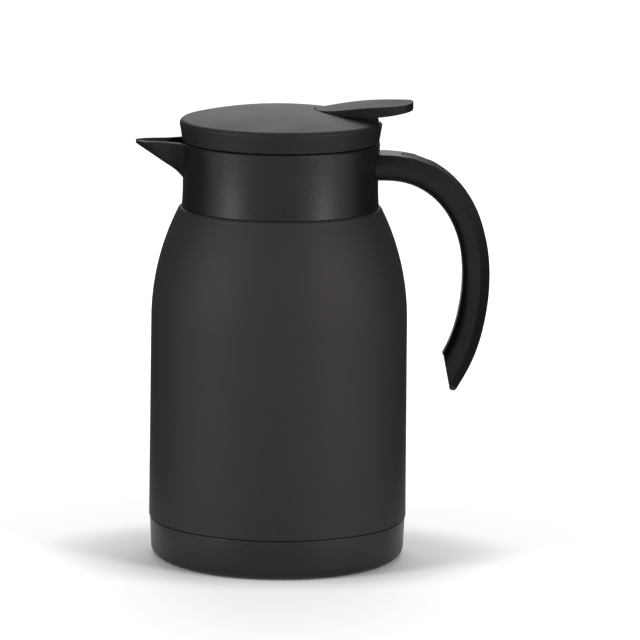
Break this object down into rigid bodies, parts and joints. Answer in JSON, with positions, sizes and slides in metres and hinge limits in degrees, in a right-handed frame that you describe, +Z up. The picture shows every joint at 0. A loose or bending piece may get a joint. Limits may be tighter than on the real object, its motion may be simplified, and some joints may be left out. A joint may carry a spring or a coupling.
{
  "type": "thermal jug",
  "caption": "Shouldered vacuum jug with an open beak spout, an open hook handle and a screw-in lid whose thumb lever lifts a sprung pour valve.",
  "frame": {"origin": "centre of the base pad's lower face, on the table under the jug's axis", "axes": "+Z up along the jug's axis, -X towards the spout's tip, +X towards the handle, +Y away from the picture's camera"},
  "size_m": [0.1775, 0.1296, 0.2316],
  "materials": {
    "shell": "matte black powder coat on drawn steel",
    "steel": "brushed stainless steel",
    "solder": "dull solder",
    "getter": "sintered, dull grey",
    "base_plastic": "satin black, fine moulded grain",
    "pad_rubber": "matte black",
    "collar_plastic": "satin black, fine moulded grain",
    "handle_plastic": "satin black, fine moulded grain",
    "strip_rubber": "soft matte black",
    "lid_plastic": "satin black, fine moulded grain",
    "lever_plastic": "satin black, fine moulded grain",
    "stopper_plastic": "natural black, smooth",
    "valve_plastic": "pale grey, smooth",
    "silicone": "translucent white silicone",
    "fastener": "bright stainless",
    "spring_steel": "drawn stainless wire"
  },
  "bodies": {
    "jug": {"outer_shell": "shell", "inner_flask": "steel", "bottom_plate": "steel", "sealing_bead": "solder", "getter_pellet": "getter", "base_cap": "base_plastic", "base_pad": "pad_rubber", "collar": "collar_plastic", "collar_gasket": "silicone", "handle": "handle_plastic", "handle_back_strip": "strip_rubber", "handle_screws": "fastener"},
    "lid_seal": {"stopper_seal": "silicone"},
    "lid": {"lid_cap": "lid_plastic", "stopper": "stopper_plastic", "chamber_cover": "stopper_plastic", "cover_gasket": "silicone", "stem_oring": "silicone", "lid_screws": "fastener", "lever_pin": "fastener"},
    "lever": {"thumb_lever": "lever_plastic"},
    "valve": {"valve_stem": "valve_plastic", "valve_disc": "valve_plastic", "valve_seal": "silicone", "stem_clip": "fastener", "valve_spring": "spring_steel"}
  },
  "joints": [
    {"name": "lid_rise", "type": "slide", "parent": "jug", "child": "lid_seal", "axis": [0, 0, 1], "range_m": [0, 0.0481]},
    {"name": "lid_turn", "type": "hinge", "parent": "lid_seal", "child": "lid", "pos_m": [0, 0, 0.2], "axis": [0, 0, 1], "range_deg": [0, 1080]},
    {"name": "lever_press", "type": "hinge", "parent": "lid", "child": "lever", "pos_m": [0.034, 0, 0.219], "axis": [0, 1, 0], "range_deg": [0, 8], "stiffness_Nm_per_rad": 0.35, "springref_deg": -8.59},
    {"name": "valve_lift", "type": "slide", "parent": "lid", "child": "valve", "axis": [0, 0, 1], "range_m": [0, 0.0048], "deforming": ["valve_spring"]}
  ],
  "couplings": [
    {"joint": "lid_rise", "follows": "lid_turn", "m_per_rad": 0.0025465},
    {"joint": "valve_lift", "follows": "lever_press", "m_per_rad": 0.034}
  ]
}
